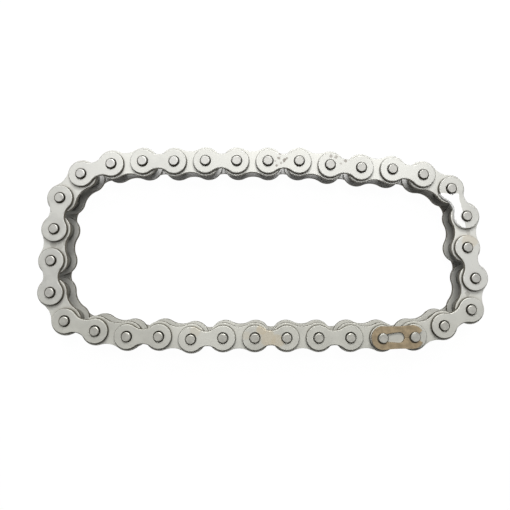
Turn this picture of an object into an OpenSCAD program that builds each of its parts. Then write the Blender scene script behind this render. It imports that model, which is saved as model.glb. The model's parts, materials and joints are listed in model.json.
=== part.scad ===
// Closed loop of single-strand roller chain, laid flat with its pins upright.
// Inner links (two plates, two bushes, two rollers) alternate with outer links (two plates, two pins).
// One outer link is the connecting link: a pin plate, a loose cover plate and a spring clip.
// The frame: +X along the loop, +Z along the pins, origin on the floor at the middle of the loop.

/* [Chain] */
// Distance between neighbouring pins
pitch = 15.875; // [14:0.005:20]
// Clear width between the two inner plates, where a sprocket tooth goes
inner_w = 9.53; // [6:0.01:14]

/* [Plates] */
// Thickness of every link plate
plate_t = 2.03; // [1.4:0.01:2.6]
// Gap between the round ends of neighbouring inner plates
inner_plate_gap = 1.175; // [0.6:0.025:2]
// How far an inner plate's waist is drawn in from its ends, on each side
inner_waist_in = 1.95; // [1:0.05:3]
// How far an outer plate's end stays inside the inner plate's end
outer_plate_in = 1.05; // [0.4:0.05:1.5]
// How far an outer plate's waist is drawn in from its ends, on each side
outer_waist_in = 2.65; // [1.5:0.05:3.2]

/* [Pins, bushes and rollers] */
// Diameter of a pin
pin_d = 5.08; // [4.4:0.01:5.8]
// How far a riveted pin stands out of an outer plate
pin_proud = 1.2; // [0.8:0.05:2]
// Radius of the rounding at a pin's end
pin_round = 0.45; // [0.1:0.05:0.7]
// Wall of a bush
bush_wall = 0.96; // [0.7:0.02:1.3]
// How far a bush stands out of an inner plate
bush_proud = 0.1; // [0.05:0.01:0.2]
// Diameter of a roller
roller_d = 10.16; // [9.6:0.01:11.5]
// Radius of the rounding at a roller's rims
roller_round = 0.4; // [0.1:0.05:0.8]

/* [Connecting link] */
// Depth of the groove round a connecting pin
groove_depth = 0.99; // [0.6:0.01:1.2]
// Height of a connecting pin's head above its groove
pin_head = 0.95; // [0.8:0.05:1.6]
// Thickness of the spring clip
clip_t = 1.25; // [0.8:0.05:1.8]
// Rim of the cover plate left clear round the clip's ends
clip_rim = 0.5; // [0.3:0.05:1]
// How far the clip's sides are drawn in between its ends
clip_waist_in = 0.3; // [0.1:0.05:0.6]
// How far the clip's jaw end is set back from the second pin's round
clip_set_back = 1.3; // [0.8:0.1:1.8]
// Bridge between the slot's wide end and the second pin's seat, where only a slit parts the legs
clip_bridge = 3.7; // [2.5:0.1:4.5]
// Width of the slit between the legs
clip_slit = 0.25; // [0.15:0.05:0.4]
// Length of the parallel throat past the second pin's middle
clip_throat = 2.1; // [1.8:0.1:2.6]
// Angle of each jaw's flare to the link
clip_flare = 40; // [25:1:50]

/* [Fits] */
// Radial running clearance of a pin in a bush
pin_play = 0.05; // [0.01:0.01:0.1]
// Radial running clearance of a roller on a bush
roller_play = 0.06; // [0.01:0.01:0.1]
// Clearance of a roller between the inner plates, at each end
roller_end_play = 0.1; // [0.05:0.01:0.2]
// Clearance between a bush's end and the outer plate beside it
side_play = 0.05; // [0.03:0.01:0.15]
// Hairline at each seat where two pieces are fitted tight
seat = 0.02; // [0.01:0.01:0.04]
// Clearance of the spring clip above and below, and round each groove
clip_play = 0.05; // [0.02:0.01:0.1]
// Clearance of the slot along the grooves, and of its wide end round a pin's head
slot_play = 0.1; // [0.06:0.01:0.2]

/* [Hidden] */
$fn = 64;

// Direction of each link as the loop lies, in degrees. Link 0 is the connecting link, and the others
// follow it to the left. The second row is the other half of the loop, with directions counted from -X.
// A link with the same number in both rows lies parallel to the link opposite, so the two can swing
// together and the loop stays closed. The directions left open are worked out so that the loop closes.
first_half = [2, 19, 30, 81, undef, 90, 118, 153, 170, 177, 175, 173, 180, undef, 180, 181, 180];
second_half = [5, 19, 50, 81, 86, 90, 118, 162, 170, 180, 175, 182, 180, 180, 180, 180, 180];
closing = [4, 13];
half = len(first_half);
links = 2 * half;

// Plate outlines
inner_plate_h = pitch - inner_plate_gap;
outer_plate_h = inner_plate_h - 2 * outer_plate_in;

// Diameters that follow from the pieces that fit inside or outside them
bush_bore = pin_d + 2 * pin_play;
bush_d = bush_bore + 2 * bush_wall;
roller_bore = bush_d + 2 * roller_play;
pin_hole = pin_d + 2 * seat;
bush_hole = bush_d + 2 * seat;
groove_d = pin_d - 2 * groove_depth;

// Heights of the layers above the floor
outer_low_z = pin_proud;
inner_low_z = outer_low_z + plate_t + side_play + bush_proud;
roller_z = inner_low_z + plate_t;
inner_high_z = roller_z + inner_w;
outer_high_z = inner_high_z + plate_t + bush_proud + side_play;
pin_top_z = outer_high_z + plate_t + pin_proud;
groove_z = outer_high_z + plate_t;
groove_w = clip_t + 2 * clip_play;
long_pin_top_z = groove_z + groove_w + pin_head;

// The spring clip: its outline, and the slot that its legs leave
clip_w = outer_plate_h - 2 * clip_rim;
clip_seat_d = groove_d + 2 * clip_play;
clip_neck = groove_d + 2 * slot_play;
clip_eye_d = pin_d + 2 * slot_play;
clip_eye_x = pitch - clip_seat_d / 2 - clip_bridge - clip_eye_d / 2;

// How far a cutter reaches past the faces it cuts
past = 1;

// Colours of the pieces
plate_colour = [0.80, 0.80, 0.77];
pin_colour = [0.88, 0.88, 0.86];
roller_colour = [0.68, 0.68, 0.66];
clip_colour = [0.60, 0.53, 0.43];

inner_links = [1:2:links - 1];
outer_links = [2:2:links - 2];
connecting_names = ["connecting_pin_plate", "connecting_cover_plate", "spring_clip"];

function numbered(name, i) = str(name, i < 10 ? "0" : "", i);

function laid(i) = i < half ? first_half[i] : second_half[i - half] + 180;
function along(angle) = [cos(angle), sin(angle)];
function sum_of(list, i = 0) = i == len(list) ? [0, 0] : list[i] + sum_of(list, i + 1);

// The two closing links make up what the others leave open, one to either side of it
rest = -sum_of([for (i = [0:links - 1]) if (!is_undef(laid(i))) along(laid(i))]);
rest_heading = atan2(rest.y, rest.x);
rest_spread = acos(norm(rest) / 2);
function heading(i) =
    i == closing[0] ? rest_heading - rest_spread :
    i == closing[1] ? rest_heading + rest_spread : laid(i);

// Link i starts at pivot i, one pitch on from the pivot before it. The middle of the loop is the origin.
function walk(i) = i == 0 ? [0, 0] : walk(i - 1) + pitch * along(heading(i - 1));
walked = [for (i = [0:links - 1]) walk(i)];
middle = [for (axis = [0, 1]) let (reach = [for (p = walked) p[axis]]) (min(reach) + max(reach)) / 2];
function pivot(i) = walked[i] - middle;

// Puts a piece at link i that is drawn with its first pin at the origin and its second on +X
module at_link(i) {
    translate(pivot(i)) rotate(heading(i)) children();
}

module at_both_pins() {
    for (x = [0, pitch]) translate([x, 0, 0]) children();
}

// Two round ends joined by a waist. Its arcs are tangent to the ends.
module waisted_outline(length, end_d, waist_in) {
    end_r = end_d / 2;
    waist_half = end_r - waist_in;
    waist_r = (pow(length / 2, 2) + pow(waist_half, 2) - pow(end_r, 2)) / (2 * waist_in);
    waist_y = waist_half + waist_r;
    // Where the end arc passes into the waist's arc, on the line between their centres
    meet = end_r / (end_r + waist_r) * [length / 2, waist_y];
    difference() {
        union() {
            for (x = [0, length]) translate([x, 0]) circle(end_r);
            translate([meet.x, -meet.y]) square([length - 2 * meet.x, 2 * meet.y]);
        }
        for (side = [-1, 1]) translate([length / 2, side * waist_y]) circle(waist_r);
    }
}

// Half of a round piece's section, rounded at both rims, from the axis out
module rounded_section(r, length, edge) {
    translate([0, edge]) square([r, length - 2 * edge]);
    square([r - edge, length]);
    for (y = [edge, length - edge]) translate([r - edge, y]) circle(edge);
}

module plate(h, waist_in, hole) {
    color(plate_colour) linear_extrude(plate_t) difference() {
        waisted_outline(pitch, h, waist_in);
        for (x = [0, pitch]) translate([x, 0]) circle(d = hole);
    }
}

module inner_plate() {
    plate(inner_plate_h, inner_waist_in, bush_hole);
}

module outer_plate() {
    plate(outer_plate_h, outer_waist_in, pin_hole);
}

module bush() {
    length = inner_w + 2 * (plate_t + bush_proud);
    color(roller_colour) translate([0, 0, inner_low_z - bush_proud]) linear_extrude(length) difference() {
        circle(d = bush_d);
        circle(d = bush_bore);
    }
}

module roller() {
    length = inner_w - 2 * roller_end_play;
    color(roller_colour) translate([0, 0, roller_z + roller_end_play]) difference() {
        rotate_extrude() rounded_section(roller_d / 2, length, roller_round);
        translate([0, 0, -past]) cylinder(h = length + 2 * past, d = roller_bore);
    }
}

// Riveted pin, standing on the floor
module pin() {
    color(pin_colour) rotate_extrude() rounded_section(pin_d / 2, pin_top_z, pin_round);
}

// Longer pin with the groove that the spring clip snaps into
module grooved_pin() {
    color(pin_colour) rotate_extrude() difference() {
        rounded_section(pin_d / 2, long_pin_top_z, pin_round);
        translate([groove_d / 2, groove_z]) square([pin_d, groove_w]);
    }
}

module inner_link() {
    for (z = [inner_low_z, inner_high_z]) translate([0, 0, z]) inner_plate();
    at_both_pins() bush();
}

module rollers() {
    at_both_pins() roller();
}

module outer_link() {
    for (z = [outer_low_z, outer_high_z]) translate([0, 0, z]) outer_plate();
    at_both_pins() pin();
}

module connecting_pin_plate() {
    translate([0, 0, outer_low_z]) outer_plate();
    at_both_pins() grooved_pin();
}

module connecting_cover_plate() {
    translate([0, 0, outer_high_z]) outer_plate();
}

// Keyhole from the closed end's seat to the wide end that passes over a pin's head
module clip_keyhole() {
    neck_r = clip_neck / 2;
    eye_r = clip_eye_d / 2;
    // Direction of the slot's sides, tangent to the neck and to the wide end
    lean = asin((eye_r - neck_r) / clip_eye_x);
    side = [-sin(lean), cos(lean)];
    mirrored = [side.x, -side.y];
    eye = [clip_eye_x, 0];
    circle(d = clip_seat_d);
    translate(eye) circle(eye_r);
    polygon([neck_r * side, eye + eye_r * side, eye + eye_r * mirrored, neck_r * mirrored]);
}

// Slit through the bridge, the second seat, and the throat that flares between the jaws
module clip_mouth() {
    neck_r = clip_neck / 2;
    reach = outer_plate_h;
    flare_y = neck_r + (reach - clip_throat) * tan(clip_flare);
    translate([clip_eye_x, -clip_slit / 2]) square([pitch - clip_eye_x, clip_slit]);
    translate([pitch, 0]) {
        circle(d = clip_seat_d);
        translate([0, -neck_r]) square([clip_throat + past, clip_neck]);
        polygon([[clip_throat, -neck_r], [reach, -flare_y], [reach, flare_y], [clip_throat, neck_r]]);
    }
}

module spring_clip() {
    color(clip_colour) translate([0, 0, groove_z + clip_play]) linear_extrude(clip_t) difference() {
        waisted_outline(pitch - clip_set_back, clip_w, clip_waist_in);
        clip_keyhole();
        clip_mouth();
    }
}

for (i = inner_links) {
    at_link(i) inner_link();
    at_link(i) rollers();
}
for (i = outer_links) {
    at_link(i) outer_link();
}
at_link(0) connecting_pin_plate();
at_link(0) connecting_cover_plate();
at_link(0) spring_clip();
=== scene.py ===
"""Closed loop of roller chain, laid flat with its pins upright, modelled link by link."""
import json
import math
from functools import cached_property

import bpy
from mathutils import Matrix, Vector


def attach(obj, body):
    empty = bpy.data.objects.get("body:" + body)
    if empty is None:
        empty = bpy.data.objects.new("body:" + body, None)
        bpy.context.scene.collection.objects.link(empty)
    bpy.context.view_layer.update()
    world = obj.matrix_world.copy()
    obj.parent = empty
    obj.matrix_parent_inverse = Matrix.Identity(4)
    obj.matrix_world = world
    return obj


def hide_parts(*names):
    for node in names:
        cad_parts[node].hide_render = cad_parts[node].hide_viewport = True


bl_info = {
    "name": "Roller chain loop",
    "version": (1, 0, 0),
    "blender": (4, 5, 0),
    "location": "View3D > Sidebar > Chain",
    "description": "Models a closed loop of roller chain with its connecting link and spring clip",
    "category": "Add Mesh",
}

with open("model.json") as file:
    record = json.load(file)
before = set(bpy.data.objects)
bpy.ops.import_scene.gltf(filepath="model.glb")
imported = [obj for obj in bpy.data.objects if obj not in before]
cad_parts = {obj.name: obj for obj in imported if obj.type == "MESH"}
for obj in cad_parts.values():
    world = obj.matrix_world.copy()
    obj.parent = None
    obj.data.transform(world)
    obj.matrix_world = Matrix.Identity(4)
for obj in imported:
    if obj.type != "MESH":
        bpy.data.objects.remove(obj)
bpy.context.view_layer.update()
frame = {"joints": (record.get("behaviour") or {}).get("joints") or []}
joints = {joint["name"]: joint for joint in frame["joints"]}
# The loop has as many links as pivots, and one of its pivots is open and has no joint
LINKS = 1 + sum(name.startswith("pivot_") for name in joints)
PITCH = (Vector(joints["pivot_02"]["pos_m"]) - Vector(joints["pivot_01"]["pos_m"])).length

MM = 0.001
# Distances in metres under which two points, or two heights, are the same
SAME_POINT = 1e-7
SAME_HEIGHT = 1e-6

# How many steps the round shapes and the rounded edges have
ROUND_STEPS = 56
WAIST_STEPS = 18
NECK_STEPS = 24
EYE_STEPS = 32
PIN_EDGE_STEPS = 6
EDGE_STEPS = 4
SMALL_EDGE_STEPS = 2
# Edges sharper than the first are rounded, and edges sharper than the second stay sharp when shaded
SHARP_EDGE = math.radians(50)
SMOOTH_EDGE = math.radians(38)

# Scales of the noise in the finishes
PLATE_MOTTLE = 110
PLATE_GRAIN = 2600
PLATE_PITS = 1300
PLATE_DENTS = 700
OIL_PATCHES = 260
HIGHLIGHT_EDGE = 300
PIN_MOTTLE = 520
PIN_DENTS = 900
ROLLER_FILM = 240
ROLLER_GRAIN = 1500
CLIP_MOTTLE = 340
CLIP_GRAIN = 900
# Parts of a noise that are spread over the whole range
MIDDLE_BAND = (0.35, 0.65)
WIDE_BAND = (0.3, 0.7)
PIT_BAND = (0.7, 0.75)
PATCH_BAND = (0.35, 0.7)
# Shares of the oil between its patches and in them, and in the loop's middle and at its ends, where they
# also set the painted shade on the beds
PATCH_SHARES = (0.25, 0.65)
END_SHARES = (0.05, 0.4)
# Finishes: shares of the colour in the mottle's dark and light, the roughness, and the bump's strength
# and depth in metres
PLATE_TONES = (0.94, 1.06)
PLATE_ROUGH = (0.58, 0.66)
PLATE_BUMP = (0.06, 0.00003)
PIN_TONES = (0.9, 1.08)
PIN_ROUGH = (0.6, 0.68)
PIN_BUMP = (0.07, 0.00004)
ROLLER_TONES = (0.75, 1.1)
ROLLER_ROUGH = (0.26, 0.4)
ROLLER_BUMP = (0.08, 0.00004)
CLIP_TONES = (0.8, 1.08)
CLIP_ROUGH = (0.4, 0.52)
CLIP_BUMP = (0.1, 0.00004)

# Where marks, painted shade and painted light fade in along the loop, as X or Y in metres
FILM_RUN = (-0.042, -0.015)
LOW_EDGES = (-0.015, -0.035)
HIGH_BEDS = (0.03, 0.04)
HIGH_PINS = (0.02, 0.045)
LEFTWARD = (0.07, -0.08)
END_RUNS = (0.075, 0.098)
# How a surface has to face for painted shade, and for a pin's smoother rim, to fade in: upright or flat,
# to the front, or away from the middle
WALL_TURN = (0.5, 0.9)
RIM_TURN = (0.88, 0.99)
CLIP_WALL_TURN = (0.25, 0.75)
PLATE_FRONT = (-0.1, -0.45)
PIN_FRONT = (-0.15, -0.5)
PIN_OUTER = (0.005, 0.035)

# Marks on the plates, and patches of painted light where the plates are made lighter: place and radius in
# millimetres, and strength
LIT_PATCHES = ((97, -12, 45, 0.8), (-82, 42, 32, 0.6), (-28, -43, 27, 0.8), (70, 42, 22, 0.5))
SMEARS = (
    (-102.7, 2.1, 2.3, 0.2), (-99.8, 3.1, 1.5, 0.35), (-106.0, 1.8, 1.8, 0.35),
    (103.9, 8.5, 1.2, 0.25), (102.6, -22.6, 1.4, 0.35))
STAINS = (
    (-1.2, -40.3, 2.6, 0.75), (2.3, -44.4, 4.1, 0.65), (7.0, -45.6, 3.4, 0.6),
    (-8.8, -43.0, 2.2, 0.3), (104.0, 4.6, 4.2, 0.45), (-34.0, -40.6, 3.0, 0.3))
SPECKS = (
    (7.6, 46.1, 0.9, 0.6), (10.3, 45.1, 1.1, 0.7), (11.4, 46.0, 0.8, 0.6), (8.1, 48.4, 0.7, 0.55),
    (6.4, 42.2, 0.7, 0.6), (8.6, 43.6, 0.6, 0.45), (5.6, 44.6, 0.5, 0.4), (34.0, 47.2, 0.8, 0.5),
    (36.6, 46.7, 0.9, 0.5), (41.1, 44.7, 1.0, 0.55), (39.0, 43.2, 0.6, 0.35))
# How ragged their edges are, and where they fade out, as shares of the radius
SMEAR_RAGGED = 0.8
STAIN_RAGGED = 0.35
SPECK_RAGGED = 1.3
MARK_INNER = 0.75
MARK_OUTER = 1.1
LIT_INNER = 0.3

# The painted highlight, a near-white patch on one outer plate, in metres: its middle and reach, its
# leaning right edge and its top
HIGHLIGHT_MIDDLE = (0.0987, 0.0237)
HIGHLIGHT_REACH = (0.0135, 0.014)
HIGHLIGHT_RIGHT = 0.1041
HIGHLIGHT_LEAN = 0.19
HIGHLIGHT_TOP = (0.0279, 0.0283)
HIGHLIGHT_FADE = 0.0003
HIGHLIGHT_RAGGED = 0.0016

# Painted shadow of each connecting pin's head round the clip's seats, in pitches: its shift from each
# pin, and where it ends
SEAT_SHADOW_SHIFT = (-0.022, -0.016)
SEAT_SHADOW_EDGE = (0.168, 0.18)

# Lamps: name, place, width and height in metres, and the value that holds the power
SOFTBOXES = (
    ("top_softbox", (0.03, 0.17, 0.5), 0.36, 0.1, "top_power"),
    ("back_softbox", (0.04, 0.6, 0.62), 0.5, 0.3, "back_power"),
    ("left_softbox", (-0.45, 0.05, 0.28), 0.25, 0.25, "left_power"))
# The ceiling's light leans back, and rises between two heights of the direction
CEILING_LEAN = (0.0, 0.25, 1.0)
CEILING_RISE = (0.6, 0.98)
# Heights of the direction between which the white horizon fades
HORIZON_RISE = (0.25, 0.5)
# Width of the camera's frame in millimetres, and how near it sees in metres
SENSOR_WIDTH = 36
CAMERA_NEAR = 0.01


def length(name, description, default):
    """A size in metres, for a property group."""
    return bpy.props.FloatProperty(
        name=name, description=description, default=default, min=0.0, precision=5, unit="LENGTH")


def angle(name, description, degrees):
    """An angle, given in degrees, for a property group."""
    return bpy.props.FloatProperty(
        name=name, description=description, default=math.radians(degrees), subtype="ANGLE")


def level(name, description, default):
    """A plain number, for a property group."""
    return bpy.props.FloatProperty(name=name, description=description, default=default)


def tint(name, description, default):
    """A linear colour, for a property group."""
    return bpy.props.FloatVectorProperty(
        name=name, description=description, default=default, size=3, min=0.0, max=1.0, subtype="COLOR")


class ChainSizes(bpy.types.PropertyGroup):
    """Sizes of the links"""

    pitch: length("Pitch", "Distance between neighbouring pins", PITCH)
    inner_width: length("Inner width", "Clear width between the inner plates", 0.00953)
    plate_t: length("Plate thickness", "Thickness of every link plate", 0.00203)
    inner_end: length("Inner plate end", "Diameter of an inner plate's round ends", 0.0147)
    inner_waist: length("Inner plate waist", "Height of an inner plate at its waist", 0.0108)
    outer_end: length("Outer plate end", "Diameter of an outer plate's round ends", 0.0126)
    outer_waist: length("Outer plate waist", "Height of an outer plate at its waist", 0.0073)
    outer_roll: length("Outer rolled edge", "Radius of an outer plate's rolled edge", 0.0005)
    inner_roll: length("Inner rolled edge", "Radius of an inner plate's rolled edge", 0.00025)
    plate_break: length("Broken edge", "Radius of a plate's edge on its other face", 0.00014)
    pin_d: length("Pin diameter", "Diameter of a pin", 0.00508)
    pin_proud: length("Pin stand-out", "How far a riveted pin stands out of an outer plate", 0.0012)
    pin_round: length("Pin rounding", "Radius at a pin's end", 0.0007)
    bush_d: length("Bush diameter", "Outer diameter of a bush", 0.0071)
    bush_bore: length("Bush bore", "Bore of a bush", 0.00518)
    bush_proud: length("Bush stand-out", "How far a bush stands out of an inner plate", 0.0001)
    bush_break: length("Bush edge", "Width of the broken edge at a bush's rims", 0.00008)
    roller_d: length("Roller diameter", "Outer diameter of a roller", 0.01016)
    roller_bore: length("Roller bore", "Bore of a roller", 0.00722)
    roller_round: length("Roller rounding", "Radius at a roller's rims", 0.0004)
    roller_end_play: length("Roller end play", "Gap between a roller and each inner plate", 0.0001)
    side_play: length("Side play", "Gap between a bush's end and the outer plate", 0.00005)
    seat: length("Seat", "Hairline at each tight seat", 0.00002)

    @property
    def outer_low(self):
        """Underside of the lower outer plate"""
        return self.pin_proud

    @property
    def inner_low(self):
        """Underside of the lower inner plate"""
        return self.outer_low + self.plate_t + self.side_play + self.bush_proud

    @property
    def inner_high(self):
        """Underside of the upper inner plate"""
        return self.inner_low + self.plate_t + self.inner_width

    @property
    def outer_high(self):
        """Underside of the upper outer plate"""
        return self.inner_high + self.plate_t + self.bush_proud + self.side_play

    @property
    def cover_top(self):
        """Top of the upper outer plate"""
        return self.outer_high + self.plate_t

    @property
    def middle(self):
        """Height halfway between the outer plates"""
        return (self.outer_low + self.cover_top) / 2


class ClipSizes(bpy.types.PropertyGroup):
    """Sizes of the connecting link's spring clip and grooves"""

    groove_d: length("Groove diameter", "Diameter of a connecting pin in its groove", 0.0031)
    groove_w: length("Groove width", "Width of the groove", 0.00135)
    head_round: length("Head rounding", "Radius at a connecting pin's ends", 0.0005)
    pin_head: length("Pin head", "Height of a connecting pin above its groove", 0.00095)
    clip_t: length("Clip thickness", "Thickness of the spring clip", 0.00125)
    clip_play: length("Clip play", "Gap under the spring clip", 0.00005)
    clip_end: length("Clip end", "Diameter of the clip's round ends", 0.0116)
    clip_waist: length("Clip waist", "Width of the clip between its ends", 0.011)
    set_back: length("Set-back", "How far the jaw end is set back from the second pin", 0.0013)
    seat_d: length("Clip seat", "Diameter of the seats round the grooves", 0.0032)
    neck: length("Neck", "Width of the keyhole's neck and of the throat", 0.0033)
    eye_d: length("Eye", "Diameter of the keyhole's wide end", 0.00528)
    eye_x: length("Eye place", "Distance of the wide end from the first pin", 0.007935)
    slit: length("Slit", "Width of the slit between the legs", 0.00012)
    throat: length("Throat", "Length of the throat past the second pin", 0.0021)
    flare: angle("Flare", "Angle of each jaw's flare", 40)
    edge: length("Edge", "Radius at the clip's edges", 0.00012)


class ChainFinish(bpy.types.PropertyGroup):
    """Colours of the finishes, as linear values, how oil and grime lie on the steel, and where shade and
    light are painted on it
    """

    plate_colour: tint("Plate steel", "Satin steel of the plates' faces", (0.62, 0.618, 0.582))
    # Painted light: lighter colour of the patches where the plates are made to catch more light
    lit_patch_colour: tint("Clean steel", "Plates' faces where they are less oily", (0.74, 0.738, 0.70))
    # Painted shade: dark colour of the plates' walls and rolled edges, and of the lower run's front edges
    wall_shade_colour: tint("Plate edge", "Oily sheared edge of the plates", (0.104, 0.093, 0.066))
    pin_colour: tint("Pin steel", "Ground steel of the pin ends", (0.5, 0.494, 0.464))
    roller_colour: tint("Roller steel", "Oiled steel of rollers and bushes", (0.17, 0.168, 0.15))
    clip_colour: tint("Clip", "Tempered spring steel", (0.47, 0.37, 0.235))
    film_colour: tint("Film", "Thin film of oil over the lower run", (0.58, 0.568, 0.42))
    oil_colour: tint("Oil", "Dried oil beside the plates and round the pins", (0.34, 0.30, 0.235))
    # Dark colour of the corners' grime, and of the painted shade and shadow on undersides, beds, pins and
    # clip seats
    grime_and_shade_colour: tint("Grime", "Dark grime in the corners", (0.053, 0.047, 0.033))
    stain_colour: tint("Stain", "Tan stain on a few plates", (0.60, 0.53, 0.40))
    # Painted light: near-white colour of the painted highlight, the lit beds of the upper run and the lit
    # pins
    painted_light_colour: tint("Wiped steel", "Bright steel where it has been wiped", (0.95, 0.95, 0.94))
    smear_colour: tint("Smears", "Smears of oily dirt on a few inner plates", (0.17, 0.148, 0.112))
    speck_colour: tint("Specks", "Specks of dirt", (0.13, 0.1, 0.08))
    steel_metal: level("Steel metal", "Metallic share of plates and pins", 0.6)
    roller_metal: level("Roller metal", "Metallic share of rollers and bushes", 0.85)
    clip_metal: level("Clip metal", "Metallic share of the spring clip", 0.45)
    # Painted light: inner plates are made lighter to make up for the shade between the outer plates
    inner_lift: level("Inner lift", "How much lighter inner plates are than outer ones", 1.08)
    film_share: level("Film share", "Share of the oil film on the lower run", 0.17)
    inner_halo: length("Inner halo", "Reach of the dried oil beside an outer plate's end", 0.0019)
    outer_halo: length("Outer halo", "Reach of the dried oil round a pin", 0.0012)
    # Grime and painted contact shade in the corners, and where they fade
    inner_grime_and_shade: level("Inner grime", "Grime in the corner beside an outer plate's end", 0.35)
    outer_grime_and_shade: level("Outer grime", "Grime in the corner round a pin", 0.7)
    corner_start: length("Corner start", "Where the grime in a corner starts to fade", 0.0001)
    corner_end: length("Corner end", "Where the grime in a corner ends", 0.00045)
    # Painted shade on the undersides that look down into the chain
    under_shade: level("Undersides", "Grime on the faces that look down into the chain", 0.85)
    # Painted shade on the faces that look up into the chain, at the loop's ends
    bed_shade: level("Beds", "Grime on the faces that look up into the chain", 0.6)
    # Painted light on those faces in the upper run
    bed_light: level("Clean beds", "How clean those faces are in the upper run", 0.8)
    # Painted light on the pins at the upper left
    pin_light: level("Clean pins", "How clean the pins are at the upper left", 0.22)
    rim_polish: level("Rim polish", "How much smoother a pin's rim is", 0.26)
    rim_metal: level("Rim metal", "How much more metallic a pin's rim is", 0.38)
    # Painted shade on the pins' rims that face away from the middle
    rim_shade: level("Rim grime", "Grime on the pins' rims at both ends of the loop", 0.9)
    # Painted shadow of the pin heads round the clip's seats
    seat_shadow: level("Seat grime", "Grime round the clip's seats", 0.85)


class StageLook(bpy.types.PropertyGroup):
    """Camera, lamps and floor"""

    lens: level("Lens", "Focal length in mm for a 36 mm frame", 35.294)
    distance: length("Camera height", "Distance from the pin ends to the camera", 0.2499)
    tilt_x: angle("Tilt", "Camera's tilt about X", -3.75)
    tilt_y: angle("Roll", "Camera's tilt about Y", 0.69)
    aim: bpy.props.FloatVectorProperty(
        name="Aim", description="Point that the camera's axis meets", size=3, subtype="TRANSLATION",
        default=(0.00591, 0.00805, 0.02035))
    frame_shift: bpy.props.FloatVectorProperty(
        name="Shift", description="Shift of the frame, as a share of its width", size=2,
        default=(-0.0408, -0.0437))
    floor_size: length("Floor", "Side of the floor", 3.0)
    floor_tone: level("Floor tone", "Paleness of the floor's paper", 0.86)
    white_level: level("White", "Strength of the white that the floor shows", 1.03)
    white_share: level("White share", "Share of that white; the rest is lit paper with its shadow", 0.95)
    room_level: level("Room", "Level of the room's light near the floor", 0.03)
    ceiling_level: level("Ceiling", "Level of the light overhead", 0.25)
    top_power: level("Top", "Power of the softbox overhead in watts", 1.05)
    back_power: level("Back", "Power of the softbox behind in watts", 5.3)
    left_power: level("Left", "Power of the softbox on the left in watts", 0.2)


def let_go():
    """Leaves edit mode and deselects everything."""
    if bpy.context.object and bpy.context.object.mode != "OBJECT":
        bpy.ops.object.mode_set(mode="OBJECT")
    bpy.ops.object.select_all(action="DESELECT")


def take(obj):
    """Makes one object the selected and active one."""
    let_go()
    obj.select_set(True)
    bpy.context.view_layer.objects.active = obj


def apply_place():
    """Writes the place and turn of what is selected into its mesh."""
    bpy.ops.object.transform_apply(location=True, rotation=True, scale=True)


def lift_to(obj, z):
    """Moves a piece that was made at the floor to a height."""
    take(obj)
    obj.location.z = z
    apply_place()


def open_edit():
    """Opens the active object in edit mode."""
    bpy.ops.object.mode_set(mode="EDIT")


def close_edit():
    """Goes back to object mode, so that what was edited or selected is kept."""
    bpy.ops.object.mode_set(mode="OBJECT")


def edit(obj, mode="VERT"):
    """Opens an object in edit mode with nothing selected."""
    take(obj)
    open_edit()
    bpy.ops.mesh.select_mode(type=mode)
    bpy.ops.mesh.select_all(action="DESELECT")


def face_outwards():
    """Turns all faces of the mesh that is open outwards, and closes it."""
    bpy.ops.mesh.select_all(action="SELECT")
    bpy.ops.mesh.normals_make_consistent(inside=False)
    close_edit()


def first_vertex(name, x, y):
    """A new object of a single vertex, left open in edit mode with the vertex selected."""
    let_go()
    bpy.ops.mesh.primitive_plane_add(size=MM, calc_uvs=False)
    obj = bpy.context.object
    obj.name = name
    open_edit()
    bpy.ops.mesh.select_mode(type="VERT")
    bpy.ops.mesh.select_all(action="SELECT")
    bpy.ops.mesh.merge(type="CENTER")
    bpy.ops.transform.translate(value=(x, y, 0))
    return obj


def arc(x, y, turn, steps):
    """Spins the last vertex round a centre, to the left for a positive turn."""
    axis = (0, 0, -1 if turn > 0 else 1)
    bpy.ops.mesh.spin(steps=steps, angle=abs(turn), center=(x, y, 0), axis=axis)


def extrude_by(x, y, z):
    """Extrudes what is selected by a straight step."""
    bpy.ops.mesh.extrude_region_move(TRANSFORM_OT_translate={"value": (x, y, z)})


def raise_outline(thickness):
    """Closes the outline, fills it and extrudes it upwards."""
    bpy.ops.mesh.select_all(action="SELECT")
    bpy.ops.mesh.remove_doubles(threshold=SAME_POINT)
    bpy.ops.mesh.edge_face_add()
    extrude_by(0, 0, thickness)
    face_outwards()


def as_cutter(outline, thickness):
    """Raises an outline to a cutter that reaches a thickness past both faces of a plate."""
    raise_outline(3 * thickness)
    lift_to(outline, -thickness)
    return outline


def waisted_blank(name, reach, end_d, waist_d, thickness):
    """Blank with two round ends and a waist whose arcs are tangent to them."""
    end_r = end_d / 2
    waist_half = waist_d / 2
    waist_r = ((reach / 2) ** 2 + waist_half ** 2 - end_r ** 2) / (2 * (end_r - waist_half))
    waist_y = waist_half + waist_r
    lean = math.atan2(waist_y, reach / 2)
    end_turn = 2 * math.pi - 2 * lean
    waist_turn = 2 * lean - math.pi
    blank = first_vertex(name, end_r * math.cos(lean), end_r * math.sin(lean))
    arc(0, 0, end_turn, ROUND_STEPS)
    arc(reach / 2, -waist_y, waist_turn, WAIST_STEPS)
    arc(reach, 0, end_turn, ROUND_STEPS)
    arc(reach / 2, waist_y, waist_turn, WAIST_STEPS)
    raise_outline(thickness)
    return blank


def add_round(diameter, depth, x=0.0, z=0.0, fill="NGON"):
    """Adds an upright cylinder with its middle at x and z."""
    bpy.ops.mesh.primitive_cylinder_add(
        vertices=ROUND_STEPS, radius=diameter / 2, depth=depth, location=(x, 0, z), end_fill_type=fill,
        calc_uvs=False)


def pierce(obj, cutter):
    """Cuts one object out of another."""
    cut = obj.modifiers.new("Cut", "BOOLEAN")
    cut.operation = "DIFFERENCE"
    cut.solver = "EXACT"
    cut.object = cutter
    take(obj)
    bpy.ops.object.modifier_apply(modifier=cut.name)
    bpy.data.objects.remove(cutter, do_unlink=True)


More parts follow.
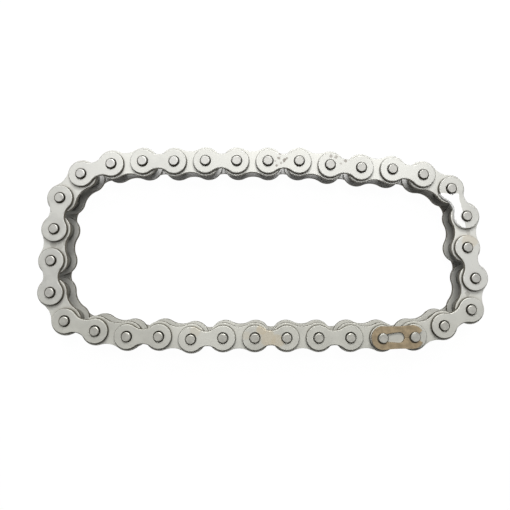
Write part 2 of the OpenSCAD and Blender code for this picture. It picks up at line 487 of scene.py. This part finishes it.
def drill(obj, x, diameter, thickness):
    """Cuts a round hole through a plate, upright at x."""
    let_go()
    add_round(diameter, 4 * thickness, x, thickness / 2)
    pierce(obj, bpy.context.object)


def at_height(obj, edge, z):
    """Whether both ends of an edge lie at one height."""
    return max(abs(obj.data.vertices[i].co.z - z) for i in edge.vertices) < SAME_HEIGHT


def round_edges(obj, z, offset, segments, spare=0.0):
    """Bevels the sharp edges at one height, apart from those within spare of the piece's long axis."""
    edit(obj, "EDGE")
    bpy.ops.mesh.edges_select_sharp(sharpness=SHARP_EDGE)
    close_edit()
    points = obj.data.vertices
    for edge in obj.data.edges:
        off_axis = max(abs(points[i].co.y) for i in edge.vertices) > spare
        edge.select = edge.select and at_height(obj, edge, z) and off_axis
    for face in obj.data.polygons:
        face.select = False
    for point in points:
        point.select = False
    for edge in obj.data.edges:
        if edge.select:
            points[edge.vertices[0]].select = True
            points[edge.vertices[1]].select = True
    open_edit()
    bpy.ops.mesh.bevel(
        offset=offset, offset_type="OFFSET", segments=segments, profile=0.5, affect="EDGES")
    close_edit()


def smooth(obj):
    """Shades a finished piece smooth, with its flat faces kept flat."""
    take(obj)
    bpy.ops.object.shade_smooth_by_angle(angle=SMOOTH_EDGE)
    weighted = obj.modifiers.new("Weighted", "WEIGHTED_NORMAL")
    weighted.keep_sharp = True
    bpy.ops.object.modifier_apply(modifier=weighted.name)


def finish_edges(obj, heights, offset, segments, spare=0.0):
    """Rounds a piece's edges at some heights, and shades it."""
    for z in heights:
        round_edges(obj, z, offset, segments, spare)
    smooth(obj)


def store_lay(obj, pitch):
    """Keeps each point's place on the link, in pitches from its first pin, as the piece's UV map."""
    while obj.data.uv_layers:
        obj.data.uv_layers.remove(obj.data.uv_layers[0])
    lay = obj.data.uv_layers.new(name="lay")
    for loop in obj.data.loops:
        point = obj.data.vertices[loop.vertex_index].co
        lay.data[loop.index].uv = (point.x / pitch, point.y / pitch)


def twin(obj, step=(0, 0, 0), turned=False):
    """Second piece of a pair, moved by a step, or turned over about the link's own line first."""
    take(obj)
    bpy.ops.object.duplicate(linked=False)
    other = bpy.context.object
    other.rotation_euler = (math.pi if turned else 0, 0, 0)
    other.location = step
    apply_place()
    return other


def join(first, second, name):
    """Makes two pieces one object."""
    take(first)
    second.select_set(True)
    bpy.ops.object.join()
    first.name = name
    return first


def pair(obj, sizes):
    """A piece and its twin one pitch further on, as one object."""
    return join(obj, twin(obj, (sizes.pitch, 0, 0)), obj.name)


def pivot(i):
    """Pivot where link i starts, in the frame of the packed solids."""
    if i % LINKS == 0:
        return Vector(joints["pivot_01"]["pos_m"]) + PITCH * Vector(joints["clip_slide"]["axis"])
    return Vector(joints["pivot_%02d" % (i % LINKS)]["pos_m"])


def lay_on_link(master, name, i, body, material, slot, *nodes):
    """Copy of a piece, laid on link i with its place in its mesh, riding on that link's body."""
    start = pivot(i)
    run = pivot(i + 1) - start
    take(master)
    bpy.ops.object.duplicate(linked=False)
    piece = bpy.context.object
    piece.name = name
    piece.data.name = name
    piece.location = (start.x, start.y, 0)
    piece.rotation_euler = (0, 0, math.atan2(run.y, run.x))
    apply_place()
    piece.data.materials.clear()
    piece.data.materials.append(material)
    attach(piece, body)
    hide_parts(*nodes)
    return piece


def discard(*masters):
    """Removes the pieces that the links' own were copied from."""
    for master in masters:
        bpy.data.objects.remove(master, do_unlink=True)


def lay_on_links(first, slot, node, *pieces):
    """Lays pieces on every second link, each given as its master, its name and its material."""
    for i in range(first, LINKS, 2):
        number = "_%02d" % i
        for master, name, material in pieces:
            lay_on_link(master, name + number, i, "link" + number, material, slot, node + number)
    discard(*(master for master, name, material in pieces))


def link_plate(name, sizes, end_d, waist_d, hole_d, roll):
    """Stamped plate with its rolled edge upwards, its underside at z = 0."""
    plate = waisted_blank(name, sizes.pitch, end_d, waist_d, sizes.plate_t)
    for x in (0, sizes.pitch):
        drill(plate, x, hole_d, sizes.plate_t)
    round_edges(plate, sizes.plate_t, roll, EDGE_STEPS)
    round_edges(plate, 0, sizes.plate_break, SMALL_EDGE_STEPS)
    smooth(plate)
    store_lay(plate, sizes.pitch)
    return plate


def plate_and_twin(name, sizes, end_d, waist_d, hole_d, roll, low, high):
    """Upper and lower plate of a link, each with its rolled edge outwards."""
    upper = link_plate(name, sizes, end_d, waist_d, hole_d, roll)
    lower = twin(upper, (0, 0, low + sizes.plate_t), turned=True)
    lift_to(upper, high)
    return upper, lower


def outer_plates(sizes):
    """Upper and lower outer plate, as two pieces."""
    return plate_and_twin(
        "outer_plates", sizes, sizes.outer_end, sizes.outer_waist, sizes.pin_d + 2 * sizes.seat,
        sizes.outer_roll, sizes.outer_low, sizes.outer_high)


def sleeves(name, sizes, outer_d, bore, low, high, rim, rim_steps):
    """Two round sleeves with rounded rims, each of two open cylinders bridged at their ends."""
    middle = (low + high) / 2
    let_go()
    add_round(outer_d, high - low, 0, middle, "NOTHING")
    obj = bpy.context.object
    obj.name = name
    apply_place()
    open_edit()
    add_round(bore, high - low, 0, middle, "NOTHING")
    close_edit()
    for z in (low, high):
        edit(obj, "EDGE")
        close_edit()
        for edge in obj.data.edges:
            edge.select = at_height(obj, edge, z)
        open_edit()
        bpy.ops.mesh.bridge_edge_loops()
        close_edit()
    edit(obj)
    face_outwards()
    finish_edges(obj, (low, high), rim, rim_steps)
    return pair(obj, sizes)


def round_bar(name, diameter, depth):
    """Upright round bar that stands on z = 0."""
    let_go()
    add_round(diameter, depth, 0, depth / 2)
    bar = bpy.context.object
    bar.name = name
    apply_place()
    return bar


def pick_top_face(obj):
    """Opens an object with only its topmost face selected."""
    edit(obj, "FACE")
    close_edit()
    top = max(obj.data.polygons, key=lambda face: face.center.z)
    top.select = True
    open_edit()


class NodeBoard:
    """Lays out the nodes of a material or of the world."""

    def __init__(self, owner, shader, output="ShaderNodeOutputMaterial"):
        owner.use_nodes = True
        self.owner = owner
        self.nodes = owner.node_tree.nodes
        self.links = owner.node_tree.links
        self.nodes.clear()
        self.shader = self.nodes.new(shader)
        self.node(output, (("Surface", self.shader.outputs[0]),))

    @cached_property
    def place(self):
        """Outputs that give a point's place and the direction in which it faces."""
        return self.nodes.new("ShaderNodeTexCoord").outputs

    def fill(self, node, values):
        """Sets a node's inputs or links them to outputs, given as pairs of an input and its value."""
        for name, value in values:
            socket = node.inputs[name]
            if isinstance(value, bpy.types.NodeSocket):
                self.links.new(value, socket)
            elif socket.type == "RGBA":
                socket.default_value = (*value, 1.0)
            else:
                socket.default_value = value

    def node(self, kind, values=(), **settings):
        """Adds a node with its settings and its inputs."""
        node = self.nodes.new(kind)
        for name, value in settings.items():
            setattr(node, name, value)
        self.fill(node, values)
        return node

    def math(self, operation, *values):
        """Result of a sum on numbers."""
        return self.node("ShaderNodeMath", enumerate(values), operation=operation).outputs["Value"]

    def times(self, product, *others):
        """Product of several numbers."""
        for other in others:
            product = self.math("MULTIPLY", product, other)
        return product

    def opposite(self, mask):
        """A mask turned round."""
        return self.math("SUBTRACT", 1.0, mask)

    def vector(self, operation, *values):
        """Result of a sum on vectors: a vector from a product by parts, or else a number."""
        outputs = self.node("ShaderNodeVectorMath", enumerate(values), operation=operation).outputs
        return outputs["Vector" if operation == "MULTIPLY" else "Value"]

    def noise(self, scale, detail, roughness=0.55, stretch=(1, 1, 1), shift=(0, 0, 0)):
        """Noise that keeps its place on the loop."""
        mapping = self.node("ShaderNodeMapping", (
            ("Vector", self.place["Object"]), ("Scale", stretch), ("Location", shift)))
        return self.node("ShaderNodeTexNoise", (
            ("Vector", mapping.outputs["Vector"]), ("Scale", scale), ("Detail", detail),
            ("Roughness", roughness))).outputs["Fac"]

    def range(self, value, low, high, to_low=0.0, to_high=1.0):
        """Maps a value's range smoothly onto another, clamped."""
        return self.node("ShaderNodeMapRange", (
            ("Value", value), ("From Min", low), ("From Max", high), ("To Min", to_low),
            ("To Max", to_high)), interpolation_type="SMOOTHSTEP").outputs["Result"]

    def mix(self, share, first, second):
        """Mixes two colours, which are the node's inputs 6 and 7 and its output 2."""
        values = (("Factor", share), (6, first), (7, second))
        return self.node("ShaderNodeMix", values, data_type="RGBA").outputs[2]

    def mottled(self, base, noise, dark, light):
        """A colour that a noise makes darker and lighter by two shares."""
        return self.mix(self.range(noise, *MIDDLE_BAND), shade(base, dark), shade(base, light))

    def part_of(self, output, axis):
        """One part of the place or of the normal."""
        return self.node("ShaderNodeSeparateXYZ", (("Vector", self.place[output]),)).outputs[axis]

    def along(self, axis):
        """Place on the loop, in metres."""
        return self.part_of("Object", axis)

    def facing(self, axis):
        """Part of the direction in which a surface faces."""
        return self.part_of("Normal", axis)

    def upright(self):
        """How far a surface faces up or down: 1 on a flat face, 0 on an upright wall."""
        return self.math("ABSOLUTE", self.facing("Z"))

    def upper(self, middle):
        """1 on what lies above the chain's middle height, 0 below it."""
        return self.math("GREATER_THAN", self.along("Z"), middle)

    def outward(self, middle):
        """1 on what faces away from the chain's middle height, 0 on what faces it."""
        above = self.math("SUBTRACT", self.along("Z"), middle)
        return self.math("GREATER_THAN", self.times(above, self.facing("Z")), 0.0)

    def lay(self):
        """Place on the piece's own link, in pitches."""
        return self.node("ShaderNodeUVMap", uv_map="lay").outputs["UV"]

    def pin_distance(self, pitch):
        """Distance to the nearer pin of the piece's own link, in metres."""
        lay = self.lay()
        first = self.vector("LENGTH", lay)
        second = self.vector("DISTANCE", lay, (1.0, 0.0, 0.0))
        return self.times(self.math("MINIMUM", first, second), pitch)

    def away_from(self, x, y):
        """Distance on the flat from a place on the loop, in metres."""
        flat = self.vector("MULTIPLY", self.place["Object"], (1.0, 1.0, 0.0))
        return self.vector("DISTANCE", flat, (x, y, 0.0))

    def ragged(self, scale, width):
        """Noise about zero, for the edge of a mark."""
        return self.times(self.math("SUBTRACT", self.noise(scale, 4), 0.5), width)

    def spot(self, x, y, radius, ragged):
        """Mask of a ragged round spot at a place on the loop, in metres."""
        away = self.math("ADD", self.away_from(x, y), self.ragged(0.9 / radius, 2 * ragged * radius))
        return self.range(away, MARK_INNER * radius, MARK_OUTER * radius, 1.0, 0.0)

    def marks(self, colour, places, mark_colour, ragged, middle):
        """Adds spots of another colour to the upper plates."""
        upper = self.upper(middle)
        for x, y, radius, share in places:
            spot = self.spot(x * MM, y * MM, radius * MM, ragged)
            colour = self.mix(self.times(spot, upper, share), colour, mark_colour)
        return colour

    def low_run_film(self, colour, film, share):
        """Adds a thin film of dried oil over the loop's lower run."""
        return self.mix(self.range(self.along("Y"), *FILM_RUN, share, 0.0), colour, film)

    def bump(self, height, strength, distance):
        """Roughens the surface a little by a height."""
        values = (("Height", height), ("Strength", strength), ("Distance", distance))
        self.fill(self.shader, (("Normal", self.node("ShaderNodeBump", values).outputs["Normal"]),))

    def finish(self, colour, roughness, metallic):
        """Sets the shader, and gives the finished material."""
        self.fill(self.shader, (("Base Color", colour), ("Roughness", roughness), ("Metallic", metallic)))
        return self.owner

    def looked_at(self):
        """1 for rays that come from the camera, or from it by a mirroring or clear surface."""
        rays = self.node("ShaderNodeLightPath").outputs
        seen = self.math("ADD", rays["Is Camera Ray"], rays["Is Glossy Ray"])
        return self.math("ADD", seen, rays["Is Transmission Ray"])


def steel_board(name):
    """Board of a new material of steel."""
    return NodeBoard(bpy.data.materials.new(name), "ShaderNodeBsdfPrincipled")


def shade(colour, share):
    """A colour made lighter or darker."""
    return tuple(share * part for part in colour)


def plate_steel(name, finish, sizes, seat_r, halo, grime, lift=1.0):
    """Satin plate steel with a halo of dried oil, grime and painted contact shade in the corner at
    seat_r, and painted shade and light.
    """
    board = steel_board(name)
    base = shade(finish.plate_colour, lift)
    mottle = board.noise(PLATE_MOTTLE, 5, 0.6)
    grain = board.noise(PLATE_GRAIN, 2)
    colour = board.mottled(base, mottle, *PLATE_TONES)
    # Painted light: patches where the plates are made lighter
    for x, y, radius, share in LIT_PATCHES:
        away = board.away_from(x * MM, y * MM)
        lightened = board.range(away, LIT_INNER * radius * MM, radius * MM, share, 0.0)
        colour = board.mix(lightened, colour, shade(finish.lit_patch_colour, lift))
    colour = board.mix(board.range(grain, *WIDE_BAND, 0.0, 0.12), colour, shade(base, 0.7))
    pits = board.range(board.noise(PLATE_PITS, 2, shift=(0.7, 0.2, 0.4)), *PIT_BAND, 0.0, 0.5)
    colour = board.mix(pits, colour, shade(base, 0.4))
    away = board.pin_distance(sizes.pitch)
    outward = board.outward(sizes.middle)
    patches = board.noise(OIL_PATCHES, 4, shift=(0.3, 0.1, 0.0))
    patchy = board.range(patches, *PATCH_BAND, *PATCH_SHARES)
    ends = board.range(board.math("ABSOLUTE", board.along("X")), *END_RUNS, *END_SHARES)
    oil = board.range(away, seat_r, seat_r + halo, 1.0, 0.0)
    colour = board.mix(board.times(oil, patchy, ends, outward), colour, finish.oil_colour)
    # Grime and painted contact shade in the corner round a pin or beside an outer plate's end
    corner = board.range(away, seat_r + finish.corner_start, seat_r + finish.corner_end, grime, 0.0)
    colour = board.mix(board.times(corner, outward), colour, finish.grime_and_shade_colour)
    # Painted shade: the undersides that look down into the chain are darkened
    downward = board.math("LESS_THAN", board.facing("Z"), 0.0)
    inward = board.opposite(outward)
    under = board.times(downward, inward)
    colour = board.mix(board.times(under, finish.under_shade), colour, finish.grime_and_shade_colour)
    colour = board.low_run_film(colour, finish.film_colour, finish.film_share)
    # Painted shade on the beds at the loop's ends, and painted light on the beds of the upper run
    bed = board.times(board.opposite(downward), inward)
    colour = board.mix(board.times(bed, ends, finish.bed_shade), colour, finish.grime_and_shade_colour)
    high_run = board.range(board.along("Y"), *HIGH_BEDS, 0.0, finish.bed_light)
    colour = board.mix(board.times(bed, high_run), colour, finish.painted_light_colour)
    # Painted shade: walls and rolled edges darken the more upright they face
    wall = board.range(board.upright(), *WALL_TURN, 1.0, 0.0)
    colour = board.mix(wall, colour, finish.wall_shade_colour)
    rough = board.range(mottle, *WIDE_BAND, *PLATE_ROUGH)
    board.bump(board.math("ADD", grain, board.noise(PLATE_DENTS, 3)), *PLATE_BUMP)
    return board, colour, rough


def inner_plate_steel(finish, sizes):
    """Inner plates, made lighter as painted light: oil has dried beside the ends of the outer plates."""
    board, colour, rough = plate_steel(
        "inner_plate_steel", finish, sizes, sizes.outer_end / 2, finish.inner_halo,
        finish.inner_grime_and_shade, finish.inner_lift)
    colour = board.marks(colour, SMEARS, finish.smear_colour, SMEAR_RAGGED, sizes.middle)
    return board.finish(colour, rough, finish.steel_metal)


def painted_highlight(board, middle):
    """Mask of the painted highlight on one outer plate, between a leaning edge and a level one."""
    ragged = board.ragged(HIGHLIGHT_EDGE, HIGHLIGHT_RAGGED)
    near = board.range(board.away_from(*HIGHLIGHT_MIDDLE), *HIGHLIGHT_REACH, 1.0, 0.0)
    edge = board.math("SUBTRACT", HIGHLIGHT_RIGHT, board.times(board.along("Y"), HIGHLIGHT_LEAN))
    inside = board.math("SUBTRACT", edge, board.math("ADD", board.along("X"), ragged))
    below = board.range(board.math("ADD", board.along("Y"), ragged), *HIGHLIGHT_TOP, 1.0, 0.0)
    return board.times(board.range(inside, 0.0, HIGHLIGHT_FADE), below, near, board.upper(middle))


def outer_plate_steel(finish, sizes):
    """Outer plates: a few are stained or specked, one has a painted highlight, and the lower run's have
    painted shade on their front edges.
    """
    board, colour, rough = plate_steel(
        "outer_plate_steel", finish, sizes, sizes.pin_d / 2, finish.outer_halo, finish.outer_grime_and_shade)
    colour = board.marks(colour, STAINS, finish.stain_colour, STAIN_RAGGED, sizes.middle)
    colour = board.marks(colour, SPECKS, finish.speck_colour, SPECK_RAGGED, sizes.middle)
    # Painted highlight: a near-white patch on one outer plate
    colour = board.mix(painted_highlight(board, sizes.middle), colour, finish.painted_light_colour)
    # Painted shade on the front edges of the lower run
    front = board.range(board.facing("Y"), *PLATE_FRONT)
    low_run = board.range(board.along("Y"), *LOW_EDGES)
    colour = board.mix(board.times(front, low_run), colour, shade(finish.wall_shade_colour, 0.6))
    return board.finish(colour, rough, finish.steel_metal)


def pin_steel(name, finish):
    """Ground pin steel, mottled on its ends, with painted light at the upper left and painted shade on
    its walls and rims.
    """
    board = steel_board(name)
    mottle = board.noise(PIN_MOTTLE, 4)
    colour = board.mottled(finish.pin_colour, mottle, *PIN_TONES)
    colour = board.low_run_film(colour, shade(finish.film_colour, 0.8), finish.film_share)
    # Painted light: pins made lighter at the upper left of the upper run
    high_run = board.range(board.along("Y"), *HIGH_PINS)
    leftward = board.range(board.along("X"), *LEFTWARD, 0.0, finish.pin_light)
    colour = board.mix(board.times(high_run, leftward), colour, finish.painted_light_colour)
    # Painted shade on the front rims, on the rims that face away from the middle, and on the walls
    front = board.range(board.facing("Y"), *PIN_FRONT)
    away = board.times(board.facing("X"), board.along("X"))
    outer = board.range(away, *PIN_OUTER, 0.0, finish.rim_shade)
    wall = board.range(board.upright(), *WALL_TURN, 1.0, 0.0)
    for dark in (front, outer, wall):
        colour = board.mix(dark, colour, finish.grime_and_shade_colour)
    board.bump(board.noise(PIN_DENTS, 3), *PIN_BUMP)
    rim = board.range(board.upright(), *RIM_TURN, 1.0, 0.0)
    ground = board.range(mottle, *WIDE_BAND, *PIN_ROUGH)
    rough = board.math("SUBTRACT", ground, board.times(rim, finish.rim_polish))
    metal = board.math("ADD", board.times(rim, finish.rim_metal), finish.steel_metal)
    return board.finish(colour, rough, metal)


def roller_steel(name, finish):
    """Oiled steel of rollers and bushes."""
    board = steel_board(name)
    film = board.noise(ROLLER_FILM, 4)
    colour = board.mottled(finish.roller_colour, film, *ROLLER_TONES)
    board.bump(board.noise(ROLLER_GRAIN, 2, stretch=(1, 1, 0.1)), *ROLLER_BUMP)
    return board.finish(colour, board.range(film, *WIDE_BAND, *ROLLER_ROUGH), finish.roller_metal)


def clip_steel(name, finish):
    """Tan tempered spring steel with a fine grain across the strip, painted shadow round its seats and
    painted shade on its walls.
    """
    board = steel_board(name)
    base = finish.clip_colour
    mottle = board.noise(CLIP_MOTTLE, 5)
    grain = board.noise(CLIP_GRAIN, 3, stretch=(4, 0.35, 1))
    colour = board.mottled(base, mottle, *CLIP_TONES)
    colour = board.mix(board.range(grain, *MIDDLE_BAND, 0.0, 0.25), colour, shade(base, 0.6))
    # Painted shadow of each pin head, a dark ring shifted to one side of its seat
    lay = board.lay()
    shift_u, shift_v = SEAT_SHADOW_SHIFT
    for u in (0.0, 1.0):
        away = board.vector("DISTANCE", lay, (u + shift_u, shift_v, 0.0))
        dark = board.range(away, *SEAT_SHADOW_EDGE, finish.seat_shadow, 0.0)
        colour = board.mix(dark, colour, finish.grime_and_shade_colour)
    # Painted shade on the clip's walls
    wall = board.range(board.upright(), *CLIP_WALL_TURN, 1.0, 0.0)
    colour = board.mix(wall, colour, shade(base, 0.35))
    board.bump(grain, *CLIP_BUMP)
    return board.finish(colour, board.range(mottle, *WIDE_BAND, *CLIP_ROUGH), finish.clip_metal)


class CHAIN_OT_inner_links(bpy.types.Operator):
    """Models the inner links: two plates and two bushes each"""

    bl_idname = "chain.inner_links"
    bl_label = "Inner links"

    def execute(self, context):
        sizes = context.scene.chain_sizes
        finish = context.scene.chain_finish
        upper, lower = plate_and_twin(
            "inner_plates", sizes, sizes.inner_end, sizes.inner_waist, sizes.bush_d + 2 * sizes.seat,
            sizes.inner_roll, sizes.inner_low, sizes.inner_high)
        plates = join(upper, lower, "inner_plates")
        low = sizes.inner_low - sizes.bush_proud
        high = sizes.inner_high + sizes.plate_t + sizes.bush_proud
        bushes = sleeves("bushes", sizes, sizes.bush_d, sizes.bush_bore, low, high, sizes.bush_break, 1)
        steel = inner_plate_steel(finish, sizes)
        bush_steel = roller_steel("bush_steel", finish)
        lay_on_links(1, "inner_link_steel", "inner_link",
                     (plates, "inner_plates", steel), (bushes, "bushes", bush_steel))
        return {"FINISHED"}


class CHAIN_OT_rollers(bpy.types.Operator):
    """Models the rollers that turn on the bushes"""

    bl_idname = "chain.rollers"
    bl_label = "Rollers"

    def execute(self, context):
        sizes = context.scene.chain_sizes
        low = sizes.inner_low + sizes.plate_t + sizes.roller_end_play
        high = sizes.inner_high - sizes.roller_end_play
        rollers = sleeves("rollers", sizes, sizes.roller_d, sizes.roller_bore, low, high,
                          sizes.roller_round, EDGE_STEPS)
        steel = roller_steel("roller_steel", context.scene.chain_finish)
        lay_on_links(1, "roller_steel", "rollers", (rollers, "roller_pair", steel))
        return {"FINISHED"}


class CHAIN_OT_outer_links(bpy.types.Operator):
    """Models the riveted outer links: two plates and two pins each"""

    bl_idname = "chain.outer_links"
    bl_label = "Outer links"

    def execute(self, context):
        sizes = context.scene.chain_sizes
        finish = context.scene.chain_finish
        upper, lower = outer_plates(sizes)
        plates = join(upper, lower, "outer_plates")
        top = sizes.cover_top + sizes.pin_proud
        pin = round_bar("pins", sizes.pin_d, top)
        finish_edges(pin, (0, top), sizes.pin_round, PIN_EDGE_STEPS)
        pins = pair(pin, sizes)
        steel = outer_plate_steel(finish, sizes)
        ground = pin_steel("pin_steel", finish)
        lay_on_links(2, "outer_link_steel", "outer_link",
                     (plates, "outer_plates", steel), (pins, "pins", ground))
        return {"FINISHED"}


class CHAIN_OT_connecting_link(bpy.types.Operator):
    """Models the connecting link: its pin plate, grooved pins and cover plate"""

    bl_idname = "chain.connecting_link"
    bl_label = "Connecting link"

    def execute(self, context):
        sizes = context.scene.chain_sizes
        clip = context.scene.clip_sizes
        steel = bpy.data.materials["outer_plate_steel"]
        ground = bpy.data.materials["pin_steel"]
        cover, under = outer_plates(sizes)
        pins = pair(self.grooved_pin(sizes, clip), sizes)
        for master, name, material, node in (
                (cover, "cover_plate", steel, "connecting_cover_plate"),
                (under, "pin_plate", steel, "connecting_pin_plate"),
                (pins, "grooved_pins_00", ground, "connecting_pin_plate")):
            lay_on_link(master, name, 0, "link_00", material, "outer_link_steel", node)
        discard(cover, under, pins)
        return {"FINISHED"}

    def grooved_pin(self, sizes, clip):
        """Longer pin: a bar up to the groove, then the groove's neck and the head above it."""
        pin = round_bar("grooved_pins", sizes.pin_d, sizes.cover_top)
        head_z = sizes.cover_top + clip.groove_w
        wider = sizes.pin_d / clip.groove_d
        pick_top_face(pin)
        bpy.ops.mesh.inset(thickness=(sizes.pin_d - clip.groove_d) / 2, depth=0)
        extrude_by(0, 0, clip.groove_w)
        extrude_by(0, 0, 0)
        bpy.ops.transform.resize(value=(wider, wider, 1), center_override=(0, 0, head_z))
        extrude_by(0, 0, clip.pin_head)
        face_outwards()
        finish_edges(pin, (0, head_z + clip.pin_head), clip.head_round, EDGE_STEPS)
        return pin


class CHAIN_OT_spring_clip(bpy.types.Operator):
    """Models the spring clip with its keyhole, slit and flared mouth"""

    bl_idname = "chain.spring_clip"
    bl_label = "Spring clip"

    def execute(self, context):
        sizes = context.scene.chain_sizes
        clip = context.scene.clip_sizes
        reach = sizes.pitch - clip.set_back
        strip = waisted_blank("clip_strip", reach, clip.clip_end, clip.clip_waist, clip.clip_t)
        pierce(strip, self.keyhole(clip))
        drill(strip, sizes.pitch, clip.seat_d, clip.clip_t)
        pierce(strip, self.mouth(sizes, clip))
        past_slit = 0.6 * clip.slit
        finish_edges(strip, (0, clip.clip_t), clip.edge, SMALL_EDGE_STEPS, past_slit)
        lift_to(strip, sizes.cover_top + clip.clip_play)
        store_lay(strip, sizes.pitch)
        steel = clip_steel("clip_steel", context.scene.chain_finish)
        lay_on_link(strip, "clip", 0, "clip", steel, "clip_spring_steel", "spring_clip")
        discard(strip)
        return {"FINISHED"}

    def keyhole(self, clip):
        """Cutter from the first seat to the wide end, with straight sides tangent to both."""
        neck_r = clip.neck / 2
        eye_r = clip.eye_d / 2
        lean = math.asin((eye_r - neck_r) / clip.eye_x)
        side = Vector((-math.sin(lean), math.cos(lean)))
        cutter = first_vertex("keyhole", neck_r * side.x, neck_r * side.y)
        arc(0, 0, math.pi - 2 * lean, NECK_STEPS)
        extrude_by(clip.eye_x + (eye_r - neck_r) * side.x, -(eye_r - neck_r) * side.y, 0)
        arc(clip.eye_x, 0, math.pi + 2 * lean, EYE_STEPS)
        return as_cutter(cutter, clip.clip_t)

    def mouth(self, sizes, clip):
        """Cutter of the slit, the throat and the flare between the jaws."""
        half_slit = clip.slit / 2
        half_neck = clip.neck / 2
        reach = 2 * clip.throat
        rise = reach * math.tan(clip.flare)
        bridge = sizes.pitch - clip.eye_x
        cutter = first_vertex("mouth", clip.eye_x, -half_slit)
        for x, y in ((bridge, 0), (0, half_slit - half_neck), (clip.throat, 0), (reach, -rise),
                     (0, 2 * (half_neck + rise)), (-reach, -rise), (-clip.throat, 0),
                     (0, half_slit - half_neck), (-bridge, 0)):
            extrude_by(x, y, 0)
        return as_cutter(cutter, clip.clip_t)


class CHAIN_OT_stage(bpy.types.Operator):
    """Sets up the floor, the soft lights and the camera"""

    bl_idname = "chain.stage"
    bl_label = "Stage"

    def execute(self, context):
        look = context.scene.stage_look
        self.floor(look)
        self.world(context.scene, look)
        for name, place, width, height, power in SOFTBOXES:
            self.softbox(name, place, width, height, getattr(look, power))
        self.camera(context.scene, look)
        context.scene.view_settings.view_transform = "Standard"
        return {"FINISHED"}

    def floor(self, look):
        """Pale floor: white where it is looked at or mirrored, with a faint shadow."""
        let_go()
        bpy.ops.mesh.primitive_plane_add(size=look.floor_size, location=(0, 0, 0))
        floor = bpy.context.object
        floor.name = "floor"
        board = NodeBoard(bpy.data.materials.new("floor_paper"), "ShaderNodeMixShader")
        paper = board.node("ShaderNodeBsdfDiffuse", (("Color", 3 * (look.floor_tone,)),))
        white = board.node("ShaderNodeEmission", (("Strength", look.white_level),))
        share = board.times(board.looked_at(), look.white_share)
        board.fill(board.shader, (
            ("Fac", share), (1, paper.outputs["BSDF"]), (2, white.outputs["Emission"])))
        floor.data.materials.append(board.owner)

    def world(self, scene, look):
        """Dim room with a light ceiling that reaches lower behind the chain, and a white horizon."""
        board = NodeBoard(bpy.data.worlds.new("room"), "ShaderNodeBackground", "ShaderNodeOutputWorld")
        lean = board.vector("DOT_PRODUCT", board.place["Generated"], CEILING_LEAN)
        ceiling = board.range(lean, *CEILING_RISE, look.room_level, look.ceiling_level)
        horizon = board.range(board.part_of("Generated", "Z"), *HORIZON_RISE, 1.0, 0.0)
        share = board.times(board.looked_at(), horizon)
        shown = board.node("ShaderNodeMix", (("Factor", share), ("A", ceiling), ("B", 1.0)))
        board.fill(board.shader, (("Color", (1.0, 1.0, 1.0)), ("Strength", shown.outputs["Result"])))
        scene.world = board.owner

    def softbox(self, name, place, width, height, power):
        """Area light that faces the middle of the loop."""
        let_go()
        bpy.ops.object.light_add(type="AREA", location=place)
        lamp = bpy.context.object
        lamp.name = name
        lamp.data.shape = "RECTANGLE"
        lamp.data.size = width
        lamp.data.size_y = height
        lamp.data.energy = power
        lamp.rotation_euler = (-Vector(place)).to_track_quat("-Z", "Y").to_euler()

    def camera(self, scene, look):
        """Camera almost straight above, turned so that its axis meets the aim point."""
        let_go()
        bpy.ops.object.camera_add()
        camera = bpy.context.object
        camera.name = "camera"
        camera.data.sensor_width = SENSOR_WIDTH
        camera.data.lens = look.lens
        camera.data.shift_x, camera.data.shift_y = look.frame_shift
        camera.data.clip_start = CAMERA_NEAR
        turn = Matrix.Rotation(-look.tilt_x, 4, "X") @ Matrix.Rotation(-look.tilt_y, 4, "Y")
        away = turn @ Vector((0, 0, look.distance))
        camera.matrix_world = Matrix.Translation(Vector(look.aim) + away) @ turn
        scene.camera = camera


class CHAIN_PT_panel(bpy.types.Panel):
    """Lists the pieces of the chain and their sizes"""

    bl_label = "Roller chain loop"
    bl_idname = "CHAIN_PT_panel"
    bl_space_type = "VIEW_3D"
    bl_region_type = "UI"
    bl_category = "Chain"

    def draw(self, context):
        layout = self.layout
        for operator in OPERATORS:
            layout.operator(operator.bl_idname)
        for label, group in GROUPS.items():
            box = layout.box()
            box.label(text=group.__doc__)
            for name in group.__annotations__:
                box.prop(getattr(context.scene, label), name)


GROUPS = {
    "chain_sizes": ChainSizes,
    "clip_sizes": ClipSizes,
    "chain_finish": ChainFinish,
    "stage_look": StageLook,
}
OPERATORS = (
    CHAIN_OT_inner_links,
    CHAIN_OT_rollers,
    CHAIN_OT_outer_links,
    CHAIN_OT_connecting_link,
    CHAIN_OT_spring_clip,
    CHAIN_OT_stage,
)


def register():
    """Registers the classes, and puts the property groups on the scene."""
    for group in GROUPS.values():
        bpy.utils.register_class(group)
    for operator in OPERATORS:
        bpy.utils.register_class(operator)
    bpy.utils.register_class(CHAIN_PT_panel)
    for label, group in GROUPS.items():
        setattr(bpy.types.Scene, label, bpy.props.PointerProperty(type=group))


def unregister():
    """Takes off what register put on."""
    for label in GROUPS:
        delattr(bpy.types.Scene, label)
    bpy.utils.unregister_class(CHAIN_PT_panel)
    for operator in reversed(OPERATORS):
        bpy.utils.unregister_class(operator)
    for group in GROUPS.values():
        bpy.utils.unregister_class(group)


def main():
    """Models every piece and sets the stage."""
    register()
    bpy.ops.chain.inner_links()
    bpy.ops.chain.rollers()
    bpy.ops.chain.outer_links()
    bpy.ops.chain.connecting_link()
    bpy.ops.chain.spring_clip()
    bpy.ops.chain.stage()
    bpy.context.view_layer.update()


if __name__ == "__main__":
    main()
